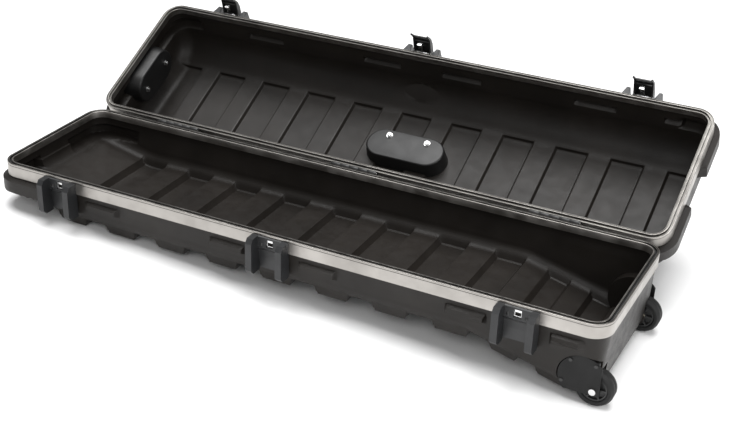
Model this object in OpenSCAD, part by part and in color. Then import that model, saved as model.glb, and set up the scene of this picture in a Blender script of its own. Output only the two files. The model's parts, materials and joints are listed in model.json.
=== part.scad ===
// Hard-shell golf travel case, lying open on its two wheels and the ribs of its underside.
// Every part is drawn in the case frame: X along the case towards the wheels, -Y the latch side,
// Z = 0 the parting plane. stand() then sets the case down on the floor, and swing() opens the lid.

/* [Case] */
// Length over the aluminium rims
case_l = 1260; // [1200:10:1320]
// Width over the aluminium rims
case_w = 325; // [315:1:340]
// Outer radius of the rims' corners
rim_r = 38; // [34:1:44]
// Wall of the two moulded shells
wall = 3.6; // [3:0.2:4.4]

/* [Base shell] */
// Depth of the base below the parting plane
base_d = 93; // [90:1:98]
// Depth of the base at the wheel end
deep_d = 148; // [144:1:152]
// Where the floor of the base starts to fall towards the wheels
slope_x = 372; // [340:1:400]
// Depth of the base at the end away from the wheels
bow_d = 66; // [60:1:76]
// Where that end starts to rise
bow_x = 500; // [480:5:520]
// Height of the ribs under the base
rib_h = 12; // [10:1:13]

/* [Lid] */
// Depth of the lid above the parting plane
lid_d = 136; // [130:1:142]
// Radius of the lid's long upper edges
vault_r = 70; // [60:1:74]
// How far the lid lies open, from closed
lid_open = 152.7; // [90:0.5:154]
// Height of the ribs on the lid
lid_rib_h = 7; // [5:1:9]
// Distance between ribs
rib_pitch = 117; // [112:1:118]
// Width of a rib under the base
rib_w = 72; // [60:1:76]
// Width of a rib on the lid
lid_rib_w = 79; // [66:1:84]

/* [Latches] */
// How far each lever stands open from its closed place
lever_open = 8; // [8:1:60]
// Distance from the middle latch to each outer latch
latch_pitch = 477; // [460:1:500]
// How far the guard posts stand out from the rim
post_d = 28; // [24:1:30]
// Clear width between two guard posts
post_gap = 49; // [47:1:52]

/* [Wheels] */
// Radius of the wheels
wheel_r = 34; // [30:1:36]
// Width of the wheels
wheel_w = 28; // [24:1:30]
// Place of the axles along the case
wheel_x = 615; // [605:1:620]
// Depth of the axles below the parting plane
wheel_z = 131; // [128:1:133]

/* [Hidden] */
$fn = 48;

shell_fn = 40;
half_l = case_l / 2;
half_w = case_w / 2;
rim_h = 27;
rim_t = 2;
top_band = 12;
groove_in = 8.8;
groove_out = 4.4;
shell_inset = 2.2;
shell_top = 6.3;
wall_draft = 5;
end_draft = 8;
lid_gap = 0.4;
foot_r = 22;
latch_x = [-latch_pitch, 0, latch_pitch];
hinge_x = [-420, 0, 420];

// The case stands on the left rib of the underside and on the wheels, so its rim leans.
foot_x = -4 * rib_pitch - rib_w / 2 + 8;
foot_z = -base_d - rib_h;
lean = atan((wheel_z + wheel_r + foot_z) / (wheel_x - foot_x));
wheel_drop = wheel_z * cos(lean) - wheel_x * sin(lean) + wheel_r;

hinge_y = half_w + 4.7;
hinge_r = 4.4;
pin_r = 2;
pin_fit = 0.05;
hinge_len = 100;
knuckles = 5;

// The middle of the open case's footprint, which is put at the origin
centre_x = 4.64;
centre_y = 163;

module stand() translate([-centre_x, -centre_y, wheel_drop]) rotate([0, -lean, 0]) children();
module swing() stand() translate([0, hinge_y, 0]) rotate([-lid_open, 0, 0]) translate([0, -hinge_y, 0]) children();

// The rims' outline in plan, moved inwards by inset
module outline(inset, r = rim_r) {
    rr = max(r - inset, 1);
    l = case_l - 2 * inset;
    w = case_w - 2 * inset;
    square([l - 2 * rr, w], center = true);
    square([l, w - 2 * rr], center = true);
    for (sx = [-1, 1], sy = [-1, 1]) translate([sx * (l / 2 - rr), sy * (w / 2 - rr)]) circle(rr);
}

module ring(z, h, outer, inner) translate([0, 0, z]) linear_extrude(h) difference() {
    outline(outer);
    outline(inner);
}

/* ---------- rims ---------- */

module rim_section() {
    ring(0, rim_h, 0, rim_t);
    ring(4.5, 1.6, 0, top_band);
    ring(4.5, 9.5, top_band - 1.5, top_band);
}

module rivet_holes(places) for (p = places) translate([p[0], p[1], p[2]]) rotate([90, 0, 0])
    cylinder(h = 8, r = 1.65, center = true);

// Rivets that hold the hinge leaves, the guards and the latch plates to the rims
hinge_rivet_x = [-38, -13, 13, 38];
hinge_spots = [for (x = hinge_x, d = hinge_rivet_x) [x + d, half_w, 15]];
guard_spots = [for (x = latch_x, d = [-17, 17]) [x + d, -half_w, 20]];
plate_spots = [for (x = latch_x, d = [-13, 13], z = [9, 20]) [x + d, -half_w, z]];
window_w = 12;

module base_valance() color("silver") stand() difference() {
    mirror([0, 0, 1]) union() {
        rim_section();
        ring(0, 4.5, groove_in, top_band);
        ring(0, 4.5, 0, groove_out);
    }
    mirror([0, 0, 1]) rivet_holes(concat(hinge_spots, guard_spots));
    for (x = latch_x) translate([x - window_w / 2, -half_w - 1, -22]) cube([window_w, rim_t + 1.2, 13]);
}

module valance_seal() color("dimgray") stand() ring(-4.4, 0.9, groove_out + 0.4, groove_in - 0.4);

module lid_valance() color("silver") swing() difference() {
    translate([0, 0, lid_gap]) {
        rim_section();
        ring(0, 4.6, 0, top_band);
        ring(-3.2, 3.3, 5.6, 7.6);
    }
    rivet_holes(concat(hinge_spots, plate_spots));
}

/* ---------- shells ---------- */

module slab(z, h, inset) translate([0, 0, z]) linear_extrude(h) outline(inset);

// Lower corners of one end of the base, whose bottom is at -d
module low_corners(x, d, off) for (sy = [-1, 1]) {
    s = sign(x);
    y = half_w - wall_draft - shell_inset;
    translate([x - s * foot_r, sy * (y - foot_r), -d + foot_r]) sphere(foot_r - off, $fn = 24);
    translate([x - s * rim_r, sy * (y - rim_r), -d + foot_r]) cylinder(h = 10, r = rim_r - off, $fn = shell_fn);
}

// Outside of the base, or its inside when off is the wall; the end away from the wheels rises like a bow
module base_form(off) {
    top = off > 0 ? 1 : 0;
    hull() {
        slab(-shell_top - 20, 20 + top, shell_inset + off, $fn = shell_fn);
        low_corners(half_l - end_draft, base_d, off);
        low_corners(-half_l + end_draft, bow_d, off);
        low_corners(-bow_x, base_d, off);
    }
}

// The deep wheel end, which hangs below the shallow part
module deep_form(off) {
    y = half_w - wall_draft - shell_inset - foot_r;
    hull() for (sy = [-1, 1]) {
        translate([slope_from[0], sy * y, slope_from[1]]) sphere(foot_r - off, $fn = 24);
        translate([half_l - end_draft - foot_r, sy * y, -base_d + foot_r]) sphere(foot_r - off, $fn = 24);
        translate([slope_to[0], sy * y, slope_to[1]]) sphere(foot_r - off, $fn = 24);
    }
}

// One rib across the underside, with drafted sides
module foot_rib(x, w, z, h, off) {
    half = half_w - wall_draft - shell_inset - 6;
    hull() {
        translate([x - w / 2 + off, -half + off, z - 1]) cube([w - 2 * off, 2 * (half - off), 20]);
        translate([x - w / 2 + 8 + off, -half + 8 + off, z - h + off]) cube([w - 16 - 2 * off, 2 * (half - 8 - off), 2]);
    }
}

slope_from = [slope_x + 10, -base_d + foot_r];
slope_to = [half_l - end_draft - foot_r - 4, -deep_d + foot_r];
slope_a = atan((slope_from[1] - slope_to[1]) / (slope_to[0] - slope_from[0]));
module foot_ribs(off) {
    for (k = [-4:3]) foot_rib(k * rib_pitch, rib_w, -base_d, rib_h, off);
    translate([slope_from[0], 0, slope_from[1]]) rotate([0, slope_a, 0])
        for (x = [70, 162]) foot_rib(x, 56, -foot_r, 9, off);
}

// Bumper bars beside each latch, and the bumpers that wrap the ends' corners
bar_in = 56;
bar_out = 134;
bar_d = 8;
bumper_d = 11;
lid_bar_in = 44;
lid_bar_out = 142;
module bar(x0, x1, z0) hull() {
    translate([x0, -half_w + 4, z0]) cube([x1 - x0, 16, 20]);
    translate([x0 + 6, -half_w + 4 - bar_d, z0 + 5]) cube([x1 - x0 - 12, 4, 10]);
}
module bars(z0, from, to) for (x = latch_x) {
    if (x > -latch_pitch) bar(x - to, x - from, z0);
    bar(x + from, min(x + to, half_l - rim_r - 2), z0);
}

well_y = half_w - 50;
cover_r = 42;
cover_x = 594;
cover_z = -111;
cover_bed = half_w - 24;
axle_r = 4;
axle_in = well_y - 2.3;
module across(x, z, from, r, grow = 0) for (s = [-1, 1]) translate([x, s * (half_w + from) / 2, z])
    rotate([90, 0, 0]) cylinder(h = half_w - from + 2 * grow, r = r + grow, center = true, $fn = shell_fn);

// Each wheel's well, with the shallow round bed of its cover
module wheel_well(grow) {
    across(wheel_x, -wheel_z, well_y, wheel_r + 5, grow);
    across(cover_x, cover_z, cover_bed, cover_r + 0.6, grow);
}

// Bosses on the wells' inner walls, which hold the inner ends of the axles
module axle_bosses() for (s = [-1, 1]) translate([wheel_x, s * (well_y + 0.2), -wheel_z])
    rotate([90, 0, 0]) cylinder(h = 7, r = 9, center = true, $fn = shell_fn);

module base_shell() color([0.17, 0.17, 0.18]) stand() difference() {
    union() {
        difference() {
            union() {
                base_form(0);
                deep_form(0);
                foot_ribs(0);
                bars(-58, bar_in, bar_out);
                corner_bumpers(-1, -64, 35, 114);
            }
            base_form(wall);
            deep_form(wall);
            foot_ribs(wall);
        }
        intersection() {
            union() {
                base_form(0);
                deep_form(0);
            }
            wheel_well(wall);
        }
        axle_bosses();
    }
    difference() {
        wheel_well(0);
        axle_bosses();
    }
    across(wheel_x, -wheel_z, axle_in - 0.2, axle_r + 0.05);
}

// Bumpers that wrap the corners of one end, s, from z0 upwards over eh, and reach along the sides
module corner_bumpers(s, z0, eh, reach) for (sy = [-1, 1]) intersection() {
    slab(z0, eh, -bumper_d);
    translate([s * half_l, sy * (half_w - 44), z0 + eh / 2]) cube([2 * reach, 150, eh], center = true);
}

// Section of the lid's vault, rim side down, grown by off
module vault_section(off) {
    c = half_w - wall_draft - shell_inset - vault_r;
    for (s = [-1, 1]) translate([s * c, lid_d - vault_r]) circle(vault_r + off, $fn = shell_fn);
    translate([-c, 30]) square([2 * c, lid_d - 30 + off]);
    translate([-c - vault_r - off, 30]) square([2 * (c + vault_r + off), lid_d - vault_r - 30]);
}

module lid_form(off) {
    c = half_w - wall_draft - shell_inset - vault_r;
    end_r = 36;
    low = off > 0 ? 1 : 0;
    hull() {
        slab(shell_top - low, 20, shell_inset + off, $fn = shell_fn);
        for (sy = [-1, 1], a = [0, 30, 60, 90]) {
            r = vault_r - end_r * (1 - cos(a)) - off;
            h = half_l - end_draft - end_r + (end_r - off) * sin(a);
            translate([0, sy * c, lid_d - vault_r]) rotate([0, 90, 0])
                cylinder(h = 2 * h, r = r, center = true, $fn = shell_fn);
        }
    }
}

// One rib over the top of the lid, from the front curve to the hinge side
module lid_rib(x, off) {
    w = lid_rib_w - 2 * off;
    intersection() {
        translate([x - w / 2, 0, 0]) rotate([90, 0, 90]) linear_extrude(w) vault_section(lid_rib_h - off);
        translate([x - w / 2, -103 + off, 60]) cube([w, 236 - 2 * off, 120]);
    }
}

handle_x = 24;
handle_y = 10;
pocket_l = 168;
pocket_w = 66;
pocket_d = 28;
pocket_bolts = [[-43.5, -20], [43.5, -20]];
end_y = 5;
end_z = 62;
end_l = 130;
end_w = 66;
end_d = 24;
end_bolts = [[-42, 0], [42, 0]];

// A stadium, length l over all and width w, h tall from z = 0
module stadium(l, w, h) {
    linear_extrude(h) {
        square([l - w, w], center = true);
        for (s = [-1, 1]) translate([s * (l - w) / 2, 0]) circle(w / 2);
    }
}

badge_a = 56;
module badge_place() translate([0, -half_w + wall_draft + shell_inset + vault_r, lid_d - vault_r])
    rotate([badge_a, 0, 0]) translate([0, 0, vault_r]) children();

module carry_place() translate([handle_x, handle_y, lid_d]) children();
module end_place() translate([-half_l + end_draft, end_y, end_z]) rotate([0, -90, 0]) rotate([0, 0, 90]) children();

module lid_shell() color([0.17, 0.17, 0.18]) swing() difference() {
    union() {
        difference() {
            union() {
                lid_form(0);
                for (k = [-5:5]) lid_rib(k * rib_pitch, 0);
                bars(38, lid_bar_in, lid_bar_out);
                corner_bumpers(-1, 29, 35, 76);
                corner_bumpers(1, 29, 35, 76);
                badge_place() translate([0, 0, -6]) stadium(92, 48, 6);
            }
            lid_form(wall);
            for (k = [-5:5]) lid_rib(k * rib_pitch, wall);
        }
        intersection() {
            lid_form(0);
            union() {
                carry_place() translate([0, 0, -pocket_d - wall]) stadium(pocket_l + 2 * wall, pocket_w + 2 * wall, 60);
                end_place() translate([0, 0, -end_d - wall]) stadium(end_l + 2 * wall, end_w + 2 * wall, 40);
            }
        }
    }
    translate([-case_l, -case_w, shell_top + lid_gap - 100]) cube([2 * case_l, 2 * case_w, 100]);
    carry_place() translate([0, 0, -pocket_d]) stadium(pocket_l, pocket_w, 60);
    end_place() translate([0, 0, -end_d]) stadium(end_l, end_w, 60);
    carry_place() for (p = pocket_bolts) translate([p[0], p[1], -60]) cylinder(h = 60, r = 3.4);
    end_place() for (p = end_bolts) translate([p[0], p[1], -60]) cylinder(h = 60, r = 3.4);
}

/* ---------- hinges ---------- */

module knuckle_row(x, first) {
    step = hinge_len / knuckles;
    for (k = [first:2:knuckles - 1]) translate([x - hinge_len / 2 + k * step + 0.2, 0, 0]) {
        rotate([0, 90, 0]) cylinder(h = step - 0.4, r = hinge_r);
        translate([0, -4.5, hinge_r - 1.5]) cube([step - 0.4, 4.5, 1.5]);
        translate([0, -4.5, hinge_r - 1.5]) cube([step - 0.4, 1.5, 4]);
    }
}

// One hinge leaf above the axis, with the knuckles that start at first
module leaf(x, first) difference() {
    translate([0, hinge_y, 0]) {
        knuckle_row(x, first);
        translate([x - hinge_len / 2, -4.5, hinge_r + 0.2]) cube([hinge_len, 1.5, 19.4]);
    }
    translate([x, hinge_y, 0]) rotate([0, 90, 0]) cylinder(h = hinge_len + 2, r = pin_r + pin_fit, center = true);
    rivet_holes([for (d = hinge_rivet_x) [x + d, half_w, 15]]);
}

module hinge_base(x) color("dimgray") stand() mirror([0, 0, 1]) leaf(x, 0);
module hinge_lid(x) color("dimgray") swing() leaf(x, 1);
module hinge_pins() color("silver") stand() for (x = hinge_x) translate([x, hinge_y, 0]) rotate([0, 90, 0])
    cylinder(h = hinge_len, r = pin_r, center = true);

// Rivets with domed heads; out is +1 for the hinge side and -1 for the latch side
module rivets(places, out, plate) for (p = places) translate([p[0], p[1], p[2]]) rotate([out * -90, 0, 0]) {
    translate([0, 0, -1.9]) cylinder(h = 1.9 + plate, r = 1.6);
    translate([0, 0, plate]) rotate_extrude() intersection() {
        translate([0, -2.6]) circle(4.2);
        square([4.2, 3]);
    }
}

module hinge_base_rivets() color("silver") stand() mirror([0, 0, 1]) rivets(hinge_spots, 1, 1.7);
module hinge_lid_rivets() color("silver") swing() rivets(hinge_spots, 1, 1.7);

/* ---------- latch guards and strikes on the base ---------- */

post_w = 13;
post_h = 76;
plate_out = 4.8;
hole_w = 14;

// Extrudes a shape drawn as [distance out of the front rim, height] along X over w, centred on x
module side_shape(x, w) translate([x - w / 2, -half_w, 0]) rotate([0, 0, 0]) multmatrix([
    [0, 0, 1, 0], [-1, 0, 0, 0], [0, 1, 0, 0], [0, 0, 0, 1]]) linear_extrude(w) children();

module post_profile(back) polygon([[0.2, -4], [post_d - 7, -4], [post_d, -13], [post_d, -post_h + 8],
    [post_d - 8, -post_h], [back, -post_h], [back, -rim_h - 2], [0.2, -rim_h - 2]]);

module guard_posts(back) for (s = [-1, 1]) side_shape(s * (post_gap + post_w) / 2, post_w) post_profile(back);

module latch_guard(x) color([0.2, 0.21, 0.23]) stand() translate([x, 0, 0]) difference() {
    union() {
        guard_posts(-1.8);
        side_shape(0, post_gap + 2) polygon([[1.8, -4], [plate_out, -5], [plate_out, -26.5], [-0.2, -33], [-0.5, -48],
            [-3.4, -post_h + 4], [-6.3, -post_h + 4], [-3.8, -46], [-1.6, -rim_h - 2], [1.8, -rim_h - 2]]);
    }
    side_shape(0, hole_w) polygon([[-5, -8], [8, -8], [8, -24], [-5, -24]]);
    rivet_recess();
}

module rivet_recess() for (s = [-1, 1]) translate([s * 17, -half_w, -20]) rotate([90, 0, 0])
    cylinder(h = 12, r = 1.65, center = true);

module strike(x) color("gainsboro") stand() translate([x, 0, 0]) difference() {
    side_shape(0, 44) polygon([[0.1, -5], [1.6, -5], [1.6, -25], [0.1, -25]]);
    side_shape(0, 10.5) polygon([[-1, -14.2], [3, -14.2], [3, -21], [-1, -21]]);
    rivet_recess();
}

module guard_rivets() color("silver") stand() mirror([0, 0, 1]) rivets(guard_spots, -1, plate_out + 0.1);

/* ---------- latches on the lid ---------- */

lever_w = 40;
cheek_t = 3;
ear_t = 2.8;
pivot_q = 12;
pivot_z = 34;
link_q = 7;
link_z = 12;
link_w = 9.5;
link_pin_r = 1.5;

// The lid's guard posts narrow to a blunt edge
foot_w = 16;
module lid_post(x) {
    side_shape(x, foot_w) polygon([[0.2, -4], [3, -4], [3, -post_h], [-1.8, -post_h], [-1.8, -rim_h - 2],
        [0.2, -rim_h - 2]]);
    hull() {
        side_shape(x, foot_w) polygon([[1, -4], [3, -4], [3, -post_h], [1, -post_h]]);
        side_shape(x, 5) post_profile(2);
    }
}

module lid_guards() color([0.2, 0.21, 0.23]) swing() for (x = latch_x, s = [-1, 1])
    translate([x + s * (post_gap + foot_w) / 2, 0, lid_gap]) mirror([0, 0, 1]) lid_post(0);

module pivot_bore(q, z, r, w) side_shape(0, w) translate([q, z]) circle(r);

module latch_base(x) color("dimgray") swing() translate([x, 0, 0]) difference() {
    union() {
        side_shape(0, 44) polygon([[0.1, 5], [1.6, 5], [1.6, 50], [0.1, 50]]);
        for (s = [-1, 1]) side_shape(s * (lever_w / 2 + 0.6 + ear_t / 2), ear_t)
            polygon([[0.1, 22], [13, 27], [17, 31], [17, 38], [13, 43], [0.1, 49]]);
    }
    pivot_bore(pivot_q, pivot_z, pin_r + pin_fit, 60);
    rivet_holes([for (d = [-13, 13], z = [9, 20]) [d, -half_w, z]]);
}

module latch_rivets() color("silver") swing() rivets(plate_spots, -1, 1.7);
module lever_pins() color("silver") swing() for (x = latch_x) translate([x, 0, 0])
    pivot_bore(pivot_q, pivot_z, pin_r, lever_w + 2 * ear_t + 1.2);

// Turns a lever that is drawn closed by its opening angle about its pin
module lever_turn(a) translate([0, -half_w - pivot_q, pivot_z]) rotate([a, 0, 0])
    translate([0, half_w + pivot_q, -pivot_z]) children();

module lever_place(x) swing() translate([x, 0, 0]) lever_turn(-lever_open) children();

// The lever is a channel between two cheeks with pointed tips, which lean in along the wall
module lever(x) color([0.1, 0.1, 0.1]) lever_place(x) difference() {
    union() {
        for (s = [-1, 1]) side_shape(s * (lever_w - cheek_t) / 2, cheek_t)
            polygon([[8, 38], [12, 40], [18, 39], [21, 31], [21, -6], [17, -20], [9, -31], [3, -38], [0.5, -36.5],
                [1.5, -34], [7.5, -27], [10, -21], [9.5, -8], [9, 2], [7, 7.5], [3.6, 8.5], [3.6, 16], [7, 28]]);
        side_shape(0, lever_w - 1) polygon([[18.4, 30], [20.8, 30], [20.8, -6], [16.6, -20.5], [14.5, -19.5],
            [18.4, -6]]);
        side_shape(0, lever_w - 1) polygon([[11, -12], [17.5, -12], [16.8, -14.5], [11, -14.5]]);
        side_shape(0, lever_w - 1) polygon([[8.5, -25.5], [12.4, -25.5], [9.6, -29.5], [7.2, -28.5]]);
        side_shape(0, lever_w - 1) translate([pivot_q, pivot_z]) circle(5);
    }
    pivot_bore(pivot_q, pivot_z, pin_r + pin_fit, 60);
    pivot_bore(link_q, link_z, link_pin_r + pin_fit, 60);
}

module link_pin(x) color("silver") lever_place(x) pivot_bore(link_q, link_z, link_pin_r, lever_w);

// The link hangs upright beside the strike however the lever stands, and its nose takes the strike's edge
module link(x) color("gainsboro") lever_place(x) translate([0, -half_w - link_q, link_z]) rotate([lever_open, 0, 0])
    translate([0, half_w + link_q, -link_z]) difference() {
    union() {
        side_shape(0, link_w) polygon([[5.8, 12], [8.2, 12], [7.4, -14], [7.4, -16.5], [0.05, -16.5], [0.05, -14.5],
            [5.2, -14.5], [5.4, -8]]);
        side_shape(0, 24) translate([link_q, link_z]) circle(3);
    }
    pivot_bore(link_q, link_z, link_pin_r + pin_fit, 60);
}

/* ---------- wheels ---------- */

bush_r = 6.5;
hub_r = 23;
wheel_y = half_w - 27.5;
module wheel_at(s) stand() translate([wheel_x, s * wheel_y, -wheel_z]) rotate([90, 0, 0]) children();

module tyre(s) color([0.08, 0.08, 0.08]) wheel_at(s) rotate_extrude($fn = 96) difference() {
    translate([hub_r + 0.02, -wheel_w / 2]) polygon([[0, 2], [2, 0], [7, 0], [wheel_r - hub_r - 0.02, 6],
        [wheel_r - hub_r - 0.02, wheel_w - 6], [7, wheel_w], [2, wheel_w], [0, wheel_w - 2]]);
    translate([wheel_r, 0]) square([1.6, 3], center = true);
}

module hub(s) color([0.14, 0.14, 0.14]) wheel_at(s) difference() {
    cylinder(h = wheel_w - 5, r = hub_r, center = true, $fn = 96);
    for (f = [-1, 1]) translate([0, 0, f * wheel_w / 2]) difference() {
        cylinder(h = 14, r = hub_r - 3, center = true);
        cylinder(h = 15, r = bush_r + 3, center = true);
        for (a = [0:60:120]) rotate([0, 0, a]) cube([2 * hub_r, 3, 16], center = true);
    }
    cylinder(h = 2 * wheel_w, r = bush_r, center = true);
}

module bush(s) color("tan") wheel_at(s) difference() {
    cylinder(h = wheel_w + 2, r = bush_r - 0.02, center = true);
    cylinder(h = 2 * wheel_w, r = axle_r + pin_fit, center = true);
}

cover_y = half_w - wall_draft - shell_inset - 0.6;
cover_t = 3;
module cover_outline() intersection() {
    circle(cover_r);
    translate([-60, -29]) square([60 + 33, 120]);
}

screw_spots = [[-34, -14], [-22, 30], [22, 30]];
module wheel_cover(s) color([0.15, 0.15, 0.16]) stand() difference() {
    translate([cover_x, s * (cover_y - cover_t / 2), cover_z]) rotate([90, 0, 0]) union() {
        linear_extrude(cover_t, center = true) cover_outline();
        for (p = screw_spots) translate([p[0], p[1], s * 5]) cylinder(h = 8, r = 4.5, center = true);
    }
    translate([wheel_x, 0, -wheel_z]) rotate([90, 0, 0]) cylinder(h = 2 * case_w, r = axle_r + 0.1, center = true);
    for (p = screw_spots) translate([cover_x + p[0], 0, cover_z + p[1]]) rotate([90, 0, 0])
        cylinder(h = 2 * case_w, r = 1.6, center = true);
}

module wheel_cover_screws() color("dimgray") stand() for (s = [-1, 1], p = screw_spots)
    translate([cover_x + p[0], s * cover_y, cover_z + p[1]]) rotate([-s * 90, 0, 0]) {
        translate([0, 0, -9]) cylinder(h = 9.2, r = 1.5);
        translate([0, 0, 0.1]) cylinder(h = 1.6, r = 3.2);
    }

module axle(s) color("silver") stand() translate([wheel_x, 0, -wheel_z]) rotate([-s * 90, 0, 0]) {
    translate([0, 0, axle_in]) cylinder(h = cover_y - axle_in + 0.2, r = axle_r);
    translate([0, 0, cover_y + 0.1]) cylinder(h = 3, r = 6);
}

module axle_nuts() color("silver") stand() for (s = [-1, 1])
    translate([wheel_x, s * (well_y + 5.6), -wheel_z]) rotate([90, 0, 0]) difference() {
        cylinder(h = 3, r = 7.5, center = true, $fn = 6);
        cylinder(h = 6, r = axle_r + 0.03, center = true, $fn = 48);
    }

/* ---------- handles ---------- */

// A tray that lines a handle's recess, open to the outside, its floor at -d
module handle_tray(l, w, d, bolts) difference() {
    translate([0, 0, -d + 0.3]) stadium(l - 0.8, w - 0.8, d - 1.5);
    translate([0, 0, -d + 3.3]) stadium(l - 6.8, w - 6.8, d);
    for (p = bolts) translate([p[0], p[1], -d - 1]) cylinder(h = 8, r = 3.2);
    for (s = [-1, 1]) translate([s * (l / 2 - 8), 0, -10]) rotate([0, 90, 0]) cylinder(h = 30, r = 2.6, center = true);
}

// The grip is a bail: two arms that lean inwards and a round bar, lying in the tray
module bail(l, w) {
    reach = w / 2 - 16;
    half = l / 2 - 9.5;
    tuck = 20;
    difference() {
        union() {
            translate([0, reach, -10]) rotate([0, 90, 0]) cylinder(h = 2 * (half - tuck) - 2, r = 8, center = true);
            for (s = [-1, 1]) hull() {
                translate([s * half, 0, -10]) rotate([0, 90, 0]) cylinder(h = 7, r = 5.5, center = true, $fn = 32);
                translate([s * (half - tuck), reach, -10]) rotate([0, 90, 0])
                    cylinder(h = 7, r = 6.5, center = true, $fn = 32);
            }
        }
        for (s = [-1, 1]) translate([s * half, 0, -10]) rotate([0, 90, 0]) cylinder(h = 20, r = 2.6, center = true);
    }
}

module pins_for(l) for (s = [-1, 1]) translate([s * (l / 2 - 9.4), 0, -10]) rotate([0, 90, 0])
    cylinder(h = 14, r = 2.5, center = true);

// Bolts from the tray through the shell, with a washer and a nut on the inside
module handle_bolts(bolts, d) for (p = bolts) translate([p[0], p[1], -d]) {
    translate([0, 0, -wall - 6]) cylinder(h = wall + 9.4, r = 3);
    translate([0, 0, 3.4]) cylinder(h = 2.4, r = 6);
    translate([0, 0, -wall - 5.2]) cylinder(h = 4, r = 5, $fn = 6);
    translate([0, 0, -wall - 1.1]) cylinder(h = 1, r = 6.6);
}

module carry_handle_pocket() color("black") swing() carry_place() handle_tray(pocket_l, pocket_w, pocket_d, pocket_bolts);
module carry_handle_bolts() color("silver") swing() carry_place() handle_bolts(pocket_bolts, pocket_d);
module carry_handle_pins() color("silver") swing() carry_place() pins_for(pocket_l);
module carry_handle_grip() color([0.1, 0.1, 0.1]) swing() carry_place() bail(pocket_l, pocket_w);

module end_handle_pocket() color("black") swing() end_place() handle_tray(end_l, end_w, end_d, end_bolts);
module end_handle_bolts() color("silver") swing() end_place() handle_bolts(end_bolts, end_d);
module end_handle_pins() color("silver") swing() end_place() pins_for(end_l);
module end_handle_grip() color([0.1, 0.1, 0.1]) swing() end_place() bail(end_l, end_w);

// A blank oval plate on its pad, on the front curve of the lid over the middle latch
module badge_plate() color("silver") swing() badge_place() translate([0, 0, 0.2]) stadium(84, 40, 1.5);

base_shell();
base_valance();
valance_seal();
latch_guard(latch_x[0]);  // latch_guard_left
latch_guard(latch_x[1]);  // latch_guard_middle
latch_guard(latch_x[2]);  // latch_guard_right
strike(latch_x[0]);  // strike_left
strike(latch_x[1]);  // strike_middle
strike(latch_x[2]);  // strike_right
guard_rivets();
hinge_base(hinge_x[0]);  // hinge_base_left
hinge_base(hinge_x[1]);  // hinge_base_middle
hinge_base(hinge_x[2]);  // hinge_base_right
hinge_pins();
hinge_base_rivets();
wheel_cover(-1);  // wheel_cover_front
wheel_cover(1);  // wheel_cover_rear
wheel_cover_screws();
axle(-1);  // axle_front
axle(1);  // axle_rear
axle_nuts();
tyre(-1);  // wheel_tyre_front
hub(-1);  // wheel_hub_front
bush(-1);  // wheel_bush_front
tyre(1);  // wheel_tyre_rear
hub(1);  // wheel_hub_rear
bush(1);  // wheel_bush_rear
lid_shell();
lid_valance();
lid_guards();
latch_base(latch_x[0]);  // latch_base_left
latch_base(latch_x[1]);  // latch_base_middle
latch_base(latch_x[2]);  // latch_base_right
latch_rivets();
lever_pins();
lever(latch_x[0]);  // lever_left
lever(latch_x[1]);  // lever_middle
lever(latch_x[2]);  // lever_right
link(latch_x[0]);  // link_left
link(latch_x[1]);  // link_middle
link(latch_x[2]);  // link_right
link_pin(latch_x[0]);  // link_pin_left
link_pin(latch_x[1]);  // link_pin_middle
link_pin(latch_x[2]);  // link_pin_right
hinge_lid(hinge_x[0]);  // hinge_lid_left
hinge_lid(hinge_x[1]);  // hinge_lid_middle
hinge_lid(hinge_x[2]);  // hinge_lid_right
hinge_lid_rivets();
carry_handle_pocket();
carry_handle_bolts();
carry_handle_pins();
carry_handle_grip();
end_handle_pocket();
end_handle_bolts();
end_handle_pins();
end_handle_grip();
badge_plate();
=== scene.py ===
"""Looks of the golf travel case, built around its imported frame.

Sizes are in millimetres in the case frame, where X runs along the case, -Y is the latch side and Z = 0 is
the parting plane. STAND sets that frame down in the row frame. The lid is drawn closed, and SWING sets it
down swung open."""

import json
import math

import bmesh
import bpy
import numpy as np
from mathutils import Matrix, Vector

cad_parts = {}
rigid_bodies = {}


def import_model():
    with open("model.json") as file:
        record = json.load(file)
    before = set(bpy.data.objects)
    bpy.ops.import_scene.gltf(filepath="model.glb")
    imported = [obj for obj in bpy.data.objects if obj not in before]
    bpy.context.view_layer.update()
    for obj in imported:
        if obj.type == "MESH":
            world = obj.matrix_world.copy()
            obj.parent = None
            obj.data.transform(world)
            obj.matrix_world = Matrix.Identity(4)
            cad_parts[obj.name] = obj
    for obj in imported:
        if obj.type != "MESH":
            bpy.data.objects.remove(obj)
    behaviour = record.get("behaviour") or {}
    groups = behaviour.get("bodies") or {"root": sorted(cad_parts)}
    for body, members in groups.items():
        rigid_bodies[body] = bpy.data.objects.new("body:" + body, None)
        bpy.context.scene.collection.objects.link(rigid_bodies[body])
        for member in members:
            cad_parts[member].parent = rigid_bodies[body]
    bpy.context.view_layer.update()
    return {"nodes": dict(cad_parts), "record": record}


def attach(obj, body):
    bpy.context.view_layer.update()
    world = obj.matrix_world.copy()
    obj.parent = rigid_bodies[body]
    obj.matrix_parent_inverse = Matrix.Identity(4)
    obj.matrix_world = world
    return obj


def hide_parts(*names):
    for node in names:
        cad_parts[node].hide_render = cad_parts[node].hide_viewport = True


MM = 0.001

# The case over its rims, its wall, and how it stands on the floor with the lid open.
HALF_L = 630.0
HALF_W = 162.5
RIM_R = 38.0
WALL = 3.6
LEAN = math.radians(3.0913)
DROP = 131.644
CENTRE = (4.64, 163.0)
HINGE_Y = 167.2
LID_OPEN = math.radians(152.7)
LATCH_X = (-477.0, 0.0, 477.0)

# Both shells: the lip sits inside the rim, and the wall leans in by the draft beyond the rim's foot.
LIP_INSET = 2.2
RIM_FOOT = 26.3
DRAFT_X = 5.8
DRAFT_Y = 5.0
SHELL_R = 36.0
SHELL_END = HALF_L - LIP_INSET - DRAFT_X
STRAIGHT_END = 584.0
RIB_PITCH = 117.0

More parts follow.
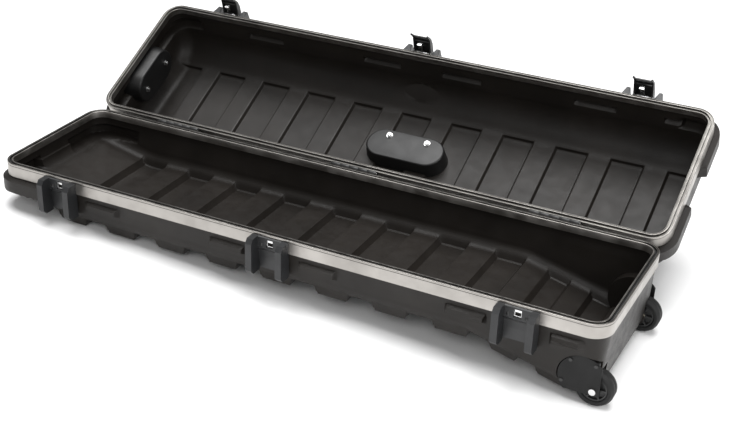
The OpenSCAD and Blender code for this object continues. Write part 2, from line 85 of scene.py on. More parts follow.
# How finely the shells are drawn, along X, down the wall and round a corner in degrees.
GRID_STEP = 5
ROW_STEP = 4
CORNER_STEP = 7.5

# Bumper bars beside the latches (distances from a latch to their ends) and bumpers round the corners.
BASE_BARS = (56.0, 134.0)
LID_BARS = (44.0, 142.0)
BAR_H = 20
BAR_OUT = 4
BAR_SLOPE = 5.5
BAR_WALL_Y = -120
BUMPER_D = 11.0
BUMPER_INNER_Y = 43.5
BUMPER_SLOPE = 5

# The lid: a vault whose sides are arcs, ribs over it, and a flat pad for the badge.
LID_LIP_Z = 6.7
VAULT_R = 70.0
VAULT_Y = HALF_W - LIP_INSET - DRAFT_Y - VAULT_R
VAULT_Z = 66.0
TOP_FROM_Z = 70
LID_RIB_W = 79.0
LID_RIB_Y = (-103, 133)
LID_RIB_H = 7
LID_RIB_SLOPE = 4.5
LID_BAR_Z = 38
LID_BUMPER_Z = (29, 64)
LID_BUMPER_L = 76
RIB_FADE = (1.3, 1.6)
PAD_HALF = (46, 24)
PAD_STEEP = 11
PAD_TILT = math.radians(34)
PAD_LINES_X = [-8, -2, 10, 22, 34, 46, 52]

# The base: a floor that deepens towards the wheels, with ribs under it that serve as feet.
BASE_D = 93.0
BASE_LIP_Z = -6.3
BASE_WALL_END_Z = -71
FLOOR_EDGE_R = 24.0
FLOOR_X = (-602, -478, 382, 598)
FLOOR_D = (66, BASE_D, BASE_D, 148)
FLOOR_BEND = 9
STRETCH_FROM = 40
WALL_BEND = 40
FEET = [(k * RIB_PITCH, 36.0, 12.0) for k in range(-4, 4)] + [(450.0, 28.0, 9.0), (536.0, 28.0, 9.0)]
FOOT_REACH_Y = 149.3
FOOT_SLOPE = 7
BASE_BAR_Z = -58
BASE_BUMPER_Z = (-64, -29)
BASE_BUMPER_L = 114

# The wheel wells, (x, z) with the inner wall's |y| and the radius: behind the wheel and behind its cover.
WHEEL_AT = (615.0, -131.0)
COVER_AT = (594.0, -111.0)
WELLS = ((WHEEL_AT, 112.5, 39.0), (COVER_AT, 138.5, 43.8))
WELL_OUTER_Y = 175.0
AXLE_BOSS = (109.2, 116.2, 9.0)
AXLE_BORE = (110.0, 130.0, 4.05)

# The handles' pockets: length, width and depth.
HANDLE_AT = (24.0, 10.0, 136.0)
END_AT = (-622.0, 5.0, 62.0)
CARRY_POCKET = (168, 66, 28)
END_POCKET = (130, 66, 24)
LINING_EXTRA = 7
LINING_TOP = 30
DISH_TOP = 34

# The extruded rims.
TOP_BAND = 12.0
GROOVE = (4.4, 8.8)
WINDOW_HALF = 6
WINDOW_Z = (-22, -9)
WINDOW_D = 2.4

STAND = Matrix.Translation((-CENTRE[0], -CENTRE[1], DROP)) @ Matrix.Rotation(-LEAN, 4, "Y")
SWING = (STAND @ Matrix.Translation((0, HINGE_Y, 0)) @ Matrix.Rotation(-LID_OPEN, 4, "X")
         @ Matrix.Translation((0, -HINGE_Y, 0)))
CARRY = SWING @ Matrix.Translation(HANDLE_AT)
END = (SWING @ Matrix.Translation(END_AT) @ Matrix.Rotation(-math.pi / 2, 4, "Y")
       @ Matrix.Rotation(math.pi / 2, 4, "Z"))
SCALE = Matrix.Diagonal((MM, MM, MM, 1))
BETWEEN_Y_AND_Z = Matrix(((1, 0, 0, 0), (0, 0, 1, 0), (0, 1, 0, 0), (0, 0, 0, 1)))


# ---------- small helpers ----------

def spread(stops, step):
    """Numbers through every stop, no further apart than step."""
    stops = sorted(set(round(s, 3) for s in stops))
    out = [stops[0]]
    for a, b in zip(stops, stops[1:]):
        n = max(1, math.ceil((b - a) / step))
        out += [a + (b - a) * (i + 1) / n for i in range(n)]
    return np.array(out)


def near(stops, *offsets):
    """Each stop's neighbours at these distances to both sides of it."""
    return [s + o for s in stops for d in offsets for o in (-d, d)]


def ends_of(a, b, slope):
    """Where a raised detail from a to b starts and ends, at its foot and at its top."""
    return [a, a + slope, b - slope, b]


def soft(t):
    """0 to 1 with rounded ends, as t goes from 0 to 1."""
    t = np.clip(t, 0, 1)
    return t * t * (3 - 2 * t)


def lerp(a, b, t):
    return a + (b - a) * t


def inside(*edges):
    """How far a point lies inside a shape, from its distance inside each edge."""
    return np.minimum.reduce(np.broadcast_arrays(*edges))


def make(name, verts, faces, matrix):
    """An object from points in millimetres, placed by matrix."""
    mesh = bpy.data.meshes.new(name)
    mesh.from_pydata([tuple(v) for v in verts], [], [tuple(f) for f in faces])
    mesh.transform(SCALE @ matrix)
    obj = bpy.data.objects.new(name, mesh)
    bpy.context.scene.collection.objects.link(obj)
    return obj


def edit(obj, *steps):
    """Runs each step on the object's mesh, opened for editing, and turns its faces outward."""
    bm = bmesh.new()
    bm.from_mesh(obj.data)
    for step in steps:
        step(bm)
    bmesh.ops.recalc_face_normals(bm, faces=bm.faces)
    bm.to_mesh(obj.data)
    bm.free()
    return obj


def merge_points(bm):
    bmesh.ops.remove_doubles(bm, verts=bm.verts, dist=1e-5)
    bmesh.ops.dissolve_degenerate(bm, edges=bm.edges, dist=1e-6)


def fill_openings(bm):
    bmesh.ops.holes_fill(bm, edges=[e for e in bm.edges if e.is_boundary])


def combine(obj, operation, other, keep=False):
    """Boolean of obj with other, applied to obj's mesh."""
    mod = obj.modifiers.new("combine", "BOOLEAN")
    mod.operation = operation
    mod.solver = "MANIFOLD"
    mod.object = other
    bpy.context.view_layer.update()
    result = bpy.data.meshes.new_from_object(obj.evaluated_get(bpy.context.evaluated_depsgraph_get()))
    obj.modifiers.clear()
    old = obj.data
    obj.data = result
    bpy.data.meshes.remove(old)
    if not keep:
        bpy.data.objects.remove(other)
    return obj


def give(obj, *slots):
    """Puts the named materials into an object's slots, in this order."""
    for slot in slots:
        obj.data.materials.append(MATERIALS[slot])
    return obj


def finish_piece(obj, body, slot, node):
    """Smooth shading, materials unless it has them, and the CAD node that the piece stands in for."""
    obj.data.polygons.foreach_set("use_smooth", [True] * len(obj.data.polygons))
    obj.data.set_sharp_from_angle(angle=math.radians(32))
    if not any(obj.data.materials):
        obj.data.materials.clear()
        give(obj, slot)
    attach(obj, body)
    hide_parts(node)


# ---------- simple solids ----------

def prism(name, outline, z0, z1, matrix, grow=0.0, edge=0.0):
    """A closed prism from a list of (x, y). Its far end is larger by grow, its near end rounded by edge."""
    n = len(outline)
    pts = np.array(outline, float)
    mid = pts.mean(0)
    ray = (pts - mid) / np.linalg.norm(pts - mid, axis=1)[:, None]
    bends = np.radians(np.arange(0, 91, 18)) if edge else [math.pi / 2]
    rings = [(pts - ray * edge * (1 - math.sin(a)), z0 + edge * (1 - math.cos(a))) for a in bends]
    rings.append((pts + ray * grow, z1))
    verts = [(x, y, z) for ring, z in rings for x, y in ring]
    k = len(rings)
    faces = [tuple(range(n - 1, -1, -1)), tuple(range((k - 1) * n, k * n))]
    for m in range(k - 1):
        a, b = m * n, (m + 1) * n
        faces += [(a + i, a + (i + 1) % n, b + (i + 1) % n, b + i) for i in range(n)]
    return make(name, verts, faces, matrix)


def stadium(length, width, steps=24):
    """The outline of a slot with round ends."""
    r = width / 2
    c = length / 2 - r
    turn = [math.pi * i / steps for i in range(steps + 1)]
    return ([(c + r * math.sin(a), -r * math.cos(a)) for a in turn]
            + [(-c - r * math.sin(a), r * math.cos(a)) for a in turn])


def plug(name, length, width, floor, top, matrix):
    """A closed, slightly tapered stadium that widens from floor to top, its floor's edge rounded."""
    obj = prism(name, stadium(length, width), floor, top, matrix, grow=(top - floor) * 0.12, edge=5.0)
    return give(obj, "shell_plastic", "dish_plastic")


def drum(name, at, side, y_inner, y_outer, r, steps=64):
    """A closed cylinder along Y at (x, z), from one distance to another on one side of the case."""
    angles = [2 * math.pi * i / steps for i in range(steps)]
    ring = [(at[0] + r * math.cos(a), at[1] + r * math.sin(a)) for a in angles]
    y0, y1 = sorted((side * y_inner, side * y_outer))
    return edit(prism(name, ring, y0, y1, STAND @ BETWEEN_Y_AND_Z), merge_points)


# ---------- the moulded shells ----------

def wall_row(z, fall, end_r):
    """A row of a shell's wall at z: its core point, outward direction, half length and end radius. The
    draft, and the change to the radius end_r, are spread over a height of fall beyond the rim's foot."""
    k = min(max((abs(z) - RIM_FOOT) / fall, 0), 1)
    r = lerp(SHELL_R, end_r, k)
    return (HALF_W - LIP_INSET - DRAFT_Y * k - r, z, 1.0, 0.0, HALF_L - LIP_INSET - DRAFT_X * k, r)


def shell_grid(rows, flat_f, straight, off, shape):
    """One face of a shell, off millimetres inside the outer one: the long body and its two end caps. rows
    go from the rim to the end of the lower curve, and flat_f holds the places across the flat."""
    yc, zc, ny, nz, half, r = [np.array(c, float) for c in zip(*rows)]

    def round_trip(side, middle):
        return np.concatenate([side, np.full(len(flat_f) - 2, middle), side[::-1]])

    core_y = np.concatenate([-yc, yc[-1] * flat_f[1:-1], yc[::-1]])
    core_z, up, hl, rr = [round_trip(c, c[-1]) for c in (zc, nz, half, r)]
    side = round_trip(ny, 0.0)
    side[:len(ny)] *= -1
    ring = np.radians(spread((0, 90), CORNER_STEP))
    thick = rr - off
    points, normals = [], []
    for end, angles in ((-1, ring[::-1]), (0, straight), (1, ring)):
        for a in angles:
            c = math.cos(a) if end else 1.0
            s = math.sin(a)
            x = end * (hl - rr + thick * s) if end else np.full(len(rr), a)
            points.append((x, core_y + thick * c * side, core_z + thick * c * up))
            normals.append((np.full(len(rr), end * s), c * side, c * up))
    sheets = [(np.array(points).transpose(0, 2, 1), np.array(normals).transpose(0, 2, 1))]
    for end in (-1, 1):
        cap = np.array([[end * (half - off) + 0 * f, f * yc, zc] for f in flat_f]).transpose(0, 2, 1)
        normal = np.zeros_like(cap)
        normal[..., 0] = end
        sheets.append((cap, normal))
    return [shape(points, normal, off) for points, normal in sheets]


def quads(rows, cols, start, flip):
    """The faces of a grid of points that are numbered from start."""
    i, j = np.meshgrid(np.arange(rows - 1), np.arange(cols - 1), indexing="ij")
    a = (start + i * cols + j).ravel()
    f = np.stack([a, a + 1, a + cols + 1, a + cols], 1)
    return f[:, ::-1] if flip else f


def shell(name, rows, flat_f, straight, shape, matrix):
    """A closed shell of even wall: an outer and an inner face, joined along the rim."""
    verts, faces, start = [], [], 0
    sheets = [shell_grid(rows(off), flat_f, straight, off, shape) for off in (0.0, WALL)]
    for k, sheet in enumerate(sheets):
        for m, g in enumerate(sheet):
            faces.append(quads(g.shape[0], g.shape[1], start, flip=(k == 0) ^ (m == 1)))
            verts.append(g.reshape(-1, 3))
            start += g.shape[0] * g.shape[1]
    for m in range(3):
        outer, inner = sheets[0][m], sheets[1][m]
        edges = [(outer[:, 0], inner[:, 0])]
        if m == 0:
            edges.append((outer[:, -1], inner[:, -1]))
        for a, b in edges:
            faces.append(quads(2, len(a), start, flip=False))
            verts += [a, b]
            start += 2 * len(a)
    return edit(make(name, np.concatenate(verts), np.concatenate(faces), matrix), merge_points)


def fill_of(name, rows, flat_f, straight, shape, matrix):
    """The solid inside a shell's outer face, closed across the rim."""
    verts, faces, start = [], [], 0
    for m, g in enumerate(shell_grid(rows(0.0), flat_f, straight, 0.0, shape)):
        faces.append(quads(g.shape[0], g.shape[1], start, flip=(m != 1)))
        verts.append(g.reshape(-1, 3))
        start += g.shape[0] * g.shape[1]
    solid = make(name, np.concatenate(verts), np.concatenate(faces), matrix)
    return edit(edit(solid, merge_points), fill_openings)


def bars_of(near_end, far_end):
    """(from, to) along X of the bumper bars on the latch side, from each latch's distances to their ends."""
    out = []
    for x in LATCH_X:
        if x != LATCH_X[0]:
            out.append((x - far_end, x - near_end))
        out.append((x + near_end, min(x + far_end, HALF_L - RIM_R - 2)))
    return out


def add_bars(p, bars, z0, off):
    """Bumper bars beside each latch, drawn out of the front wall."""
    x, y, z = p[..., 0], p[..., 1], p[..., 2]
    for a, b in bars_of(*bars):
        m = inside(x - a, b - x, z - z0, z0 + BAR_H - z) - off
        drawn = lerp(y, -HALF_W - BAR_OUT + off, soft(m / BAR_SLOPE))
        y = np.where((y < BAR_WALL_Y) & (m > 0), drawn, y)
    p[..., 1] = y


def add_bumpers(p, ends, z_range, reach, off):
    """Bumpers that wrap the corners of the ends."""
    x, y, z = p[..., 0], p[..., 1], p[..., 2]
    core_x = np.clip(x, -HALF_L + RIM_R, HALF_L - RIM_R)
    core_y = np.clip(y, -HALF_W + RIM_R, HALF_W - RIM_R)
    dx, dy = x - core_x, y - core_y
    d = np.maximum(np.hypot(dx, dy), 1e-6)
    out = RIM_R + BUMPER_D - off
    around = inside(np.abs(x) - HALF_L + reach, np.abs(y) - BUMPER_INNER_Y)
    m = inside(around, z - z_range[0], z_range[1] - z) - off
    m = np.where(np.isin(np.sign(x), ends), m, -1)
    t = soft(m / BUMPER_SLOPE)
    p[..., 0] = lerp(x, core_x + dx / d * out, t)
    p[..., 1] = lerp(y, core_y + dy / d * out, t)


def rib_stops(places, width):
    edges = [x + s * width / 2 for x in places for s in (-1, 1)]
    return edges + near(edges, 1.5, 3, 4.5, 8)


def bar_stops(bars):
    edges = [e for bar in bars_of(*bars) for e in bar]
    return edges + near(edges, 2, 4, BAR_SLOPE)


def bumper_stops(ends, reach):
    return [end * (HALF_L - reach + d) for end in ends for d in (0, BUMPER_SLOPE)]


def along_x(stops):
    """The places along the straight part of a shell, through those stops that lie on it."""
    ends = [-STRAIGHT_END, STRAIGHT_END]
    return spread(ends + [s for s in stops if abs(s) <= STRAIGHT_END], GRID_STEP)


# ---------- lid ----------

def lid_rows(off):
    stops = [LID_LIP_Z, RIM_FOOT, VAULT_Z] + ends_of(*LID_BUMPER_Z, BUMPER_SLOPE)
    stops += ends_of(LID_BAR_Z, LID_BAR_Z + BAR_H, BAR_SLOPE)
    rows = [wall_row(z, VAULT_Z - RIM_FOOT, SHELL_R) for z in spread(stops, ROW_STEP)]
    core_r = VAULT_R - SHELL_R
    for a in np.radians(spread((0, 35, 38.9, 90), 2.4))[1:]:
        c, s = math.cos(a), math.sin(a)
        rows.append((VAULT_Y + core_r * c, VAULT_Z + core_r * s, c, s, SHELL_END, SHELL_R))
    return rows


def lid_shape(p, n, off):
    """Raises the ribs, which fade out over the ends, flattens the badge's pad, and adds the bumpers."""
    x, y, z = p[..., 0].copy(), p[..., 1].copy(), p[..., 2].copy()
    over_top = z > TOP_FROM_Z
    fade = np.clip(RIB_FADE[0] - np.abs(n[..., 0]) * RIB_FADE[1], 0, 1)
    rib = np.zeros_like(x)
    for k in range(-5, 6):
        across_rib = LID_RIB_W / 2 - np.abs(x - k * RIB_PITCH)
        m = inside(across_rib, y - LID_RIB_Y[0], LID_RIB_Y[1] - y) - off
        rib = np.maximum(rib, LID_RIB_H * soft(m / LID_RIB_SLOPE) * over_top * fade)
    cos, sin = math.cos(PAD_TILT), math.sin(PAD_TILT)
    across = -(y + VAULT_Y) * sin - (z - VAULT_Z) * cos
    lift = VAULT_R - off - (-(y + VAULT_Y) * cos + (z - VAULT_Z) * sin)
    half_x, half_y = (half - 0.6 * off for half in PAD_HALF)
    pad = soft((1 - np.hypot(x / half_x, across / half_y)) * PAD_STEEP) * (y < 0) * over_top
    p = p + n * rib[..., None]
    p[..., 1] -= pad * lift * cos
    p[..., 2] += pad * lift * sin
    add_bars(p, LID_BARS, LID_BAR_Z, off)
    add_bumpers(p, (-1, 1), LID_BUMPER_Z, LID_BUMPER_L, off)
    return p


def build_lid():
    """The vault, with a lined pocket for each handle."""
    last_rib = 5 * RIB_PITCH - LID_RIB_W / 2
    stops = rib_stops([k * RIB_PITCH for k in range(-4, 5)], LID_RIB_W) + [-last_rib, last_rib]
    stops += bar_stops(LID_BARS) + bumper_stops((-1, 1), LID_BUMPER_L) + PAD_LINES_X
    flat_f = spread(near((0,), 0.1, 0.3, 0.5, 0.7, 0.9, 1), 0.05)
    parts = (lid_rows, flat_f, along_x(stops), lid_shape, SWING)
    lid = give(shell("lid_shell_moulded", *parts), "shell_plastic", "dish_plastic")
    outer = give(fill_of("lid_outer", *parts), "shell_plastic", "dish_plastic")
    for place, (length, width, depth) in ((CARRY, CARRY_POCKET), (END, END_POCKET)):
        wide = (length + LINING_EXTRA, width + LINING_EXTRA)
        lining = plug("lining", *wide, -depth - WALL, LINING_TOP, place)
        lining.data.polygons.foreach_set("material_index", [1] * len(lining.data.polygons))
        combine(lid, "UNION", combine(lining, "INTERSECT", outer, keep=True))
        combine(lid, "DIFFERENCE", plug("dish", length, width, -depth, DISH_TOP, place))
    bpy.data.objects.remove(outer)
    finish_piece(lid, "lid", "shell_plastic", "lid_shell")


# ---------- base ----------

def floor_depth(x):
    """Depth of the base's floor at x, with soft bends."""
    bends = [FLOOR_BEND * f for f in (-1, -0.5, 0, 0.5, 1)]
    return np.mean([np.interp(x + o, FLOOR_X, FLOOR_D) for o in bends], axis=0)


def base_rows(off):
    stops = [BASE_LIP_Z, -RIM_FOOT, BASE_WALL_END_Z] + ends_of(*BASE_BUMPER_Z, BUMPER_SLOPE)
    stops += ends_of(BASE_BAR_Z, BASE_BAR_Z + BAR_H, BAR_SLOPE)
    rows = [wall_row(z, WALL_BEND, FLOOR_EDGE_R) for z in spread(stops, ROW_STEP)[::-1]]
    core_y = HALF_W - LIP_INSET - DRAFT_Y - FLOOR_EDGE_R
    core_z = FLOOR_EDGE_R - BASE_D
    for a in np.radians(spread((0, 90), 9))[1:]:
        rows.append((core_y, core_z, math.cos(a), -math.sin(a), SHELL_END, FLOOR_EDGE_R))
    return rows


def base_shape(p, n, off):
    """Stretches the floor to its depth, draws the feet down from it, and adds the bumpers."""
    x, y, z = p[..., 0], p[..., 1], p[..., 2]
    deep = floor_depth(x)
    stretch = np.clip((-z - STRETCH_FROM) / (BASE_D - FLOOR_EDGE_R - STRETCH_FROM), 0, 1)
    p[..., 2] = z = z - (deep - BASE_D) * stretch
    for at, half, height in FEET:
        m = inside(x - at + half, at + half - x, FOOT_REACH_Y - np.abs(y)) - off
        low = np.where(z < -deep + FLOOR_EDGE_R, soft(m / FOOT_SLOPE), 0)
        p[..., 2] = z = lerp(z, -deep - height + off, low)
    add_bars(p, BASE_BARS, BASE_BAR_Z, off)
    add_bumpers(p, (-1,), BASE_BUMPER_Z, BASE_BUMPER_L, off)
    return p


def build_base():
    """The tray, with a lined well, a boss and a bore for each wheel."""
    feet = [at + s * half for at, half, _ in FEET for s in (-1, 1)]
    stops = feet + near(feet, 2, 4, FOOT_SLOPE) + bar_stops(BASE_BARS) + bumper_stops((-1,), BASE_BUMPER_L)
    parts = (base_rows, spread((-1, 1), 0.04), along_x(stops), base_shape, STAND)
    base = shell("base_shell_moulded", *parts)
    outer = fill_of("base_outer", *parts)
    for side in (-1, 1):
        for at, inner, r in WELLS:
            lining = drum("lining", at, side, inner - WALL, WELL_OUTER_Y, r + WALL)
            combine(base, "UNION", combine(lining, "INTERSECT", outer, keep=True))
        for at, inner, r in WELLS:
            combine(base, "DIFFERENCE", drum("well", at, side, inner, WELL_OUTER_Y + 5, r))
        combine(base, "UNION", drum("boss", WHEEL_AT, side, *AXLE_BOSS))
        combine(base, "DIFFERENCE", drum("bore", WHEEL_AT, side, *AXLE_BORE))
    bpy.data.objects.remove(outer)
    finish_piece(base, "base", "shell_plastic", "base_shell")


# ---------- rims ----------

# Sections of the two rim profiles, as (inset from the outer face, height); True where a segment that starts
# at the point is painted in a darker metal, as painted shade in and beside the channels.
BASE_RIM = [
    (0.0, -27.0, False), (0.0, -4.9, True), (0.45, -4.5, True), (0.45, -4.0, True), (0.0, -3.6, False),
    (0.0, -0.7, False), (0.25, -0.2, False), (0.7, 0.0, False), (1.5, 0.0, True), (1.8, -0.7, True),
    (3.4, -0.7, True), (3.7, 0.0, False), (GROOVE[0] - 0.3, 0.0, False), (GROOVE[0], -0.3, True),
    (GROOVE[0], -4.5, True), (GROOVE[1], -4.5, True), (GROOVE[1], -0.3, False),
    (GROOVE[1] + 0.3, 0.0, True), (TOP_BAND - 1.6, 0.0, False), (TOP_BAND - 0.6, 0.0, False),
    (TOP_BAND - 0.2, -0.2, False), (TOP_BAND, -0.6, False), (TOP_BAND, -14.0, False),
    (TOP_BAND - 1.5, -14.0, False), (TOP_BAND - 1.5, -6.1, False), (2.0, -6.1, False), (2.0, -27.0, False),
]
LID_RIM = [
    (0.0, 27.4, False), (0.0, 4.9, True), (0.45, 4.5, True), (0.45, 4.0, True), (0.0, 3.6, False),
    (0.0, 1.1, False), (0.25, 0.6, False), (0.7, 0.4, True), (1.6, 0.4, True), (2.0, 1.5, True),
    (5.2, 1.5, True), (5.6, 0.4, True), (5.6, -2.4, False), (5.8, -2.7, False), (6.1, -2.8, True),
    (7.1, -2.8, False), (7.4, -2.7, False), (7.6, -2.4, True), (7.6, 0.6, True), (8.0, 1.5, True),
    (TOP_BAND - 1.6, 1.5, True), (TOP_BAND - 1.2, 0.4, True), (TOP_BAND - 0.5, 0.4, False),
    (TOP_BAND, 0.9, False), (TOP_BAND, 14.4, False), (TOP_BAND - 1.5, 14.4, False),
    (TOP_BAND - 1.5, 6.5, False), (2.0, 6.5, False), (2.0, 27.4, False),
]


def rim_ring(name, section, matrix):
    """The extruded rim profile, bent round the case's outline."""
    turn = [(math.radians(90 * quarter + a), quarter) for quarter in range(4) for a in range(0, 91, 5)]
    corner = ((1, 1), (-1, 1), (-1, -1), (1, -1))
    verts, faces = [], []
    for angle, quarter in turn:
        sx, sy = corner[quarter]
        for inset, z, _ in section:
            r = RIM_R - inset
            x = sx * (HALF_L - RIM_R) + r * math.cos(angle)
            y = sy * (HALF_W - RIM_R) + r * math.sin(angle)
            verts.append((x, y, z))
    n, k = len(turn), len(section)
    for i in range(n):
        for j in range(k):
            a, b = i * k, (i + 1) % n * k
            faces.append((a + j, b + j, b + (j + 1) % k, a + (j + 1) % k))
    obj = make(name, verts, faces, matrix)
    # The second material is a darker metal, painted shade on the faces in and beside the channels.
    give(obj, "valance_aluminium", "valance_painted_shade")
    obj.data.polygons.foreach_set("material_index", [int(s[2]) for _ in turn for s in section])
    return edit(obj, merge_points)


def build_rims():
    """Both rims, the base's with a window at each latch."""
    base = rim_ring("base_rim", BASE_RIM, STAND)
    y0, y1 = -HALF_W - 2, -HALF_W + WINDOW_D
    for x in LATCH_X:
        left, right = x - WINDOW_HALF, x + WINDOW_HALF
        window = [(left, y0), (right, y0), (right, y1), (left, y1)]
        combine(base, "DIFFERENCE", prism("window", window, *WINDOW_Z, STAND))
    lid = rim_ring("lid_rim", LID_RIM, SWING)
    finish_piece(base, "base", "valance_aluminium", "base_valance")
    finish_piece(lid, "lid", "valance_aluminium", "lid_valance")


# ---------- materials ----------

def grey(v):
    return (v, v, v)


def noise(mat, scale, detail, stretch=(1, 1, 1)):
    """Noise in the object's own coordinates."""
    tree = mat.node_tree
    place = tree.nodes.new("ShaderNodeTexCoord")
    mapping = tree.nodes.new("ShaderNodeMapping")
    mapping.inputs["Scale"].default_value = stretch
    tex = tree.nodes.new("ShaderNodeTexNoise")
    tex.inputs["Scale"].default_value = scale
    tex.inputs["Detail"].default_value = detail
    tree.links.new(place.outputs["Object"], mapping.inputs["Vector"])
    tree.links.new(mapping.outputs["Vector"], tex.inputs["Vector"])
    return tex.outputs["Fac"]


def ramp(mat, source, low, high):
    """A colour between low and high, led by the middle range of source."""
    node = mat.node_tree.nodes.new("ShaderNodeValToRGB")
    for element, position, colour in zip(node.color_ramp.elements, (0.35, 0.65), (low, high)):
        element.position = position
        element.color = (*colour, 1)
    mat.node_tree.links.new(source, node.inputs["Fac"])
    return node.outputs["Color"]


def textured(name, low, high, rough, bump, grain, metallic=0.0, stretch=(1, 1, 1), specular=0.5):
    """Broad colour variation, roughness from a medium noise and a fine bump."""
    mat = bpy.data.materials.new(name)
    mat.use_nodes = True
    link = mat.node_tree.links.new
    bsdf = mat.node_tree.nodes["Principled BSDF"].inputs
    bsdf["Base Color"].default_value = (*low, 1)
    bsdf["Roughness"].default_value = sum(rough) / 2
    bsdf["Metallic"].default_value = metallic
    bsdf["Specular IOR Level"].default_value = specular
    link(ramp(mat, noise(mat, 9, 4), low, high), bsdf["Base Color"])
    link(ramp(mat, noise(mat, 45, 3), grey(rough[0]), grey(rough[1])), bsdf["Roughness"])
    relief = mat.node_tree.nodes.new("ShaderNodeBump")
    relief.inputs["Strength"].default_value = bump
    relief.inputs["Distance"].default_value = 0.6 * MM
    link(noise(mat, grain, 2, stretch), relief.inputs["Height"])
    link(relief.outputs["Normal"], bsdf["Normal"])
    return mat


def build_materials():
    """Each look is (darker colour, lighter colour, roughness range, bump strength, bump scale)."""
    plastics = {
        "guard_plastic": ((0.0115, 0.012, 0.013), (0.017, 0.0175, 0.019), (0.4, 0.52), 0.3, 1100),
        "dish_plastic": (grey(0.004), grey(0.007), (0.44, 0.5), 0.25, 900),
        "latch_plastic": (grey(0.008), grey(0.013), (0.32, 0.42), 0.2, 1200),
        "latch_steel": (grey(0.014), grey(0.02), (0.3, 0.42), 0.15, 1300),
        "hinge_steel": (grey(0.016), grey(0.024), (0.35, 0.48), 0.15, 1300),
        "black_screw": (grey(0.012), grey(0.02), (0.3, 0.42), 0.15, 900),
        "wheel_plastic": (grey(0.012), grey(0.018), (0.38, 0.5), 0.2, 1300),
        "bush_plastic": ((0.5, 0.46, 0.36), (0.56, 0.52, 0.42), (0.35, 0.45), 0.1, 1300),
        "handle_tray": (grey(0.008), grey(0.012), (0.32, 0.44), 0.2, 1300),
    }
    matt = {
        "shell_plastic": ((0.0105, 0.0088, 0.0074), (0.0155, 0.013, 0.011), (0.38, 0.47), 0.5, 900),
        "seal_rubber": (grey(0.012), grey(0.02), (0.6, 0.75), 0.2, 1200),
        "wheel_rubber": (grey(0.010), grey(0.017), (0.5, 0.65), 0.3, 1200),
        "handle_rubber": (grey(0.012), grey(0.018), (0.5, 0.65), 0.3, 1300),
        "cover_plastic": (grey(0.006), grey(0.010), (0.5, 0.6), 0.3, 1100),
    }
    metals = {
        # The rims' channel metal is darkened as painted shade.
        "valance_painted_shade": ((0.10, 0.095, 0.09), (0.15, 0.145, 0.135), (0.35, 0.5), 0.1, 700),
        "strike_steel": (grey(0.68), grey(0.78), (0.16, 0.26), 0.05, 700),
        "rivet_steel": ((0.50, 0.49, 0.47), (0.6, 0.59, 0.57), (0.25, 0.38), 0.08, 900),
        "bolt_steel": (grey(0.5), grey(0.62), (0.2, 0.3), 0.05, 900),
    }
    brushed = {
        "valance_aluminium": ((0.33, 0.313, 0.294), (0.43, 0.41, 0.387), (0.30, 0.46), 0.2, 420),
        "badge_metal": ((0.30, 0.29, 0.28), (0.37, 0.36, 0.345), (0.3, 0.45), 0.1, 500),
    }
    groups = (
        (plastics, {}),
        (matt, {"specular": 0.25}),
        (metals, {"metallic": 1.0}),
        (brushed, {"metallic": 1.0, "stretch": (0.04, 1, 1)}),
    )
    return {name: textured(name, *look, **extra) for looks, extra in groups for name, look in looks.items()}


def dress_node(obj, slot):
    """Gives a CAD part its material and small broken edges."""
    obj.data.materials.clear()
    give(obj, slot)
    weld = obj.modifiers.new("weld", "WELD")
    weld.merge_threshold = 0.01 * MM
    bevel = obj.modifiers.new("bevel", "BEVEL")
    bevel.width = 0.5 * MM
    bevel.segments = 2
    bevel.limit_method = "ANGLE"
    bevel.angle_limit = math.radians(35)
    bevel.harden_normals = True


# ---------- floor, light and camera ----------

FLOOR_HALF = 40000.0
WORLD_STRENGTH = 0.24

# Each lamp is (name, kind, place, what it looks at, power, settings), with places in metres.
LAMPS = (
    ("top", "SUN", (-0.3, 0.3, 2.6), (0, 0.1, 0), 3.9, {"angle": math.radians(48)}),
    ("front", "AREA", (0.6, -2.6, 1.9), (0, 0, 0.1), 27, {"shape": "RECTANGLE", "size": 2.4, "size_y": 1.2}),
    ("right", "AREA", (2.6, -0.6, 1.6), (0.4, 0, 0.1), 27, {"shape": "SQUARE", "size": 1.2}),
)

# Where the camera stands in the case frame: azimuth, elevation and roll in degrees, its place, the lens in
# millimetres on a 36 mm sensor, and the shift that the off-centre framing needs.
CAMERA_ANGLES = (28.65, 29.0, 0.76)
CAMERA_AT = (1064.9, -1980.7, 1134.7)
SENSOR = 36
LENS = 63.6801
SHIFT = (0.092657, 0.054473)


def build_floor():
    s = FLOOR_HALF
    corners = [(-s, -s, 0), (s, -s, 0), (s, s, 0), (-s, s, 0)]
    floor = make("floor", corners, [(0, 1, 2, 3)], Matrix.Identity(4))
    floor.data.materials.append(textured("floor", grey(0.93), grey(0.95), (0.6, 0.7), 0.02, 40))


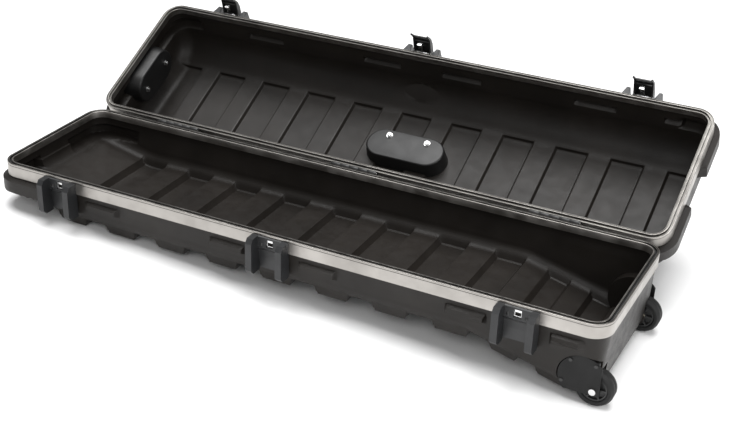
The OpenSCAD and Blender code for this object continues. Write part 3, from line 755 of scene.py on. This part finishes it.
def add_light(name, kind, at, look, power, settings):
    """A soft lamp of a kind, standing at a place and looking at another."""
    data = bpy.data.lights.new(name, kind)
    data.energy = power
    for setting, value in settings.items():
        setattr(data, setting, value)
    lamp = bpy.data.objects.new(name, data)
    lamp.location = at
    lamp.rotation_euler = (Vector(look) - Vector(at)).to_track_quat("-Z", "Y").to_euler()
    bpy.context.scene.collection.objects.link(lamp)


def build_light():
    world = bpy.data.worlds.new("studio")
    world.use_nodes = True
    background = world.node_tree.nodes["Background"].inputs
    background["Color"].default_value = (1, 1, 1, 1)
    background["Strength"].default_value = WORLD_STRENGTH
    bpy.context.scene.world = world
    bpy.context.scene.view_settings.view_transform = "Standard"
    for lamp in LAMPS:
        add_light(*lamp)


def build_camera():
    """The camera, fitted in the case frame and set down with the case."""
    az, el, roll = (math.radians(a) for a in CAMERA_ANGLES)
    back = Vector((math.sin(az) * math.cos(el), -math.cos(az) * math.cos(el), math.sin(el)))
    right = Vector((math.cos(az), math.sin(az), 0))
    up = back.cross(right)
    turned_right = right * math.cos(roll) + up * math.sin(roll)
    turned_up = back.cross(turned_right)
    rotation = Matrix((turned_right, turned_up, back)).transposed().to_4x4()
    data = bpy.data.cameras.new("camera")
    data.sensor_width = SENSOR
    data.lens = LENS
    data.shift_x, data.shift_y = SHIFT
    data.clip_end = 120
    cam = bpy.data.objects.new("camera", data)
    place = STAND @ Matrix.Translation(Vector(CAMERA_AT)) @ rotation
    cam.matrix_world = Matrix.Translation(place.translation * MM) @ place.to_3x3().to_4x4()
    bpy.context.scene.collection.objects.link(cam)
    bpy.context.scene.camera = cam


# ---------- the scene ----------

for leftover in list(bpy.data.objects):
    bpy.data.objects.remove(leftover)
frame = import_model()
MATERIALS = build_materials()
SLOTS = {s["node"]: s["material_slot"] for s in frame["record"]["subparts"]}
REPLACED = ("lid_shell", "base_shell", "lid_valance", "base_valance")

build_lid()
build_base()
build_rims()
for name, obj in frame["nodes"].items():
    if name not in REPLACED:
        dress_node(obj, SLOTS[name])

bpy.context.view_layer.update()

build_floor()
build_light()
build_camera()
